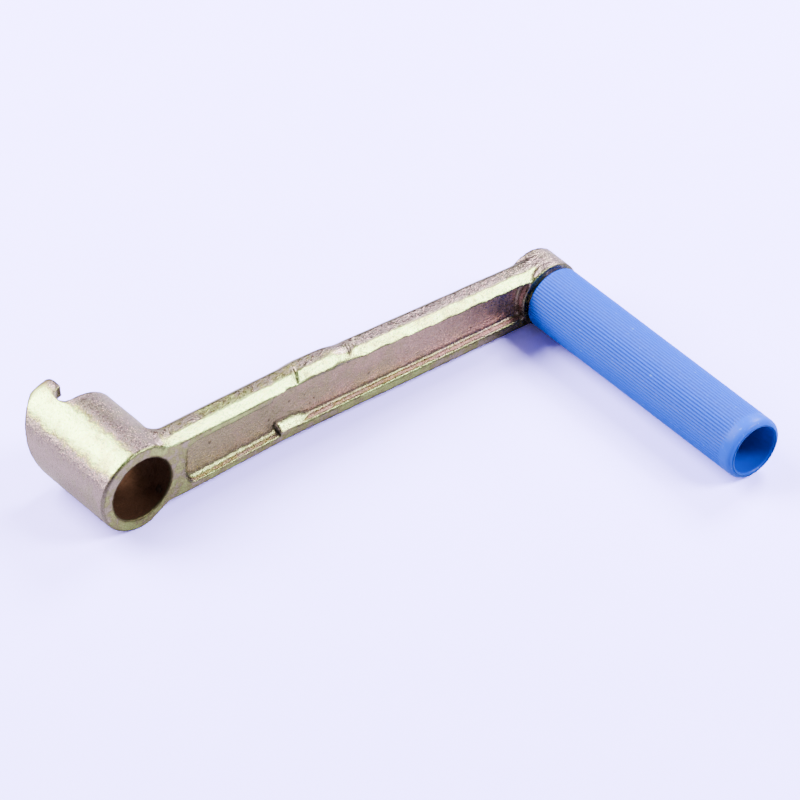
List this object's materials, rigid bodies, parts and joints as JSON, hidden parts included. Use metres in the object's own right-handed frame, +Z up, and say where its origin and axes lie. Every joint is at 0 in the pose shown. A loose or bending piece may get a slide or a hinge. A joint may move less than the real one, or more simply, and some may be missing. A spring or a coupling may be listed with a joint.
{
  "type": "engine starting handle",
  "caption": "Cranked starting handle with a helical jaw dog on its bored hub and a ribbed sleeve that spins on a riveted spindle.",
  "frame": {"origin": "middle of the hub bore, in the plane of the hub's front face", "axes": "+Y along the bore towards the engine, +X along the arm towards the handle, +Z up with the handle lying on its hub and eye"},
  "size_m": [0.2336, 0.1864, 0.039],
  "materials": {
    "chromated_zinc": "cast, zinc plated and yellow chromated, satin",
    "spindle_steel": "turned, zinc plated, satin",
    "blue_plastic": "moulded, satin"
  },
  "bodies": {
    "crank": {"crank_arm": "chromated_zinc", "handle_spindle": "spindle_steel"},
    "grip": {"grip_sleeve": "blue_plastic"}
  },
  "joints": [
    {"name": "grip_spin", "type": "hinge", "parent": "crank", "child": "grip", "pos_m": [0.19993, -0.06896, -0.0053], "axis": [0, 1, 0], "continuous": true}
  ]
}
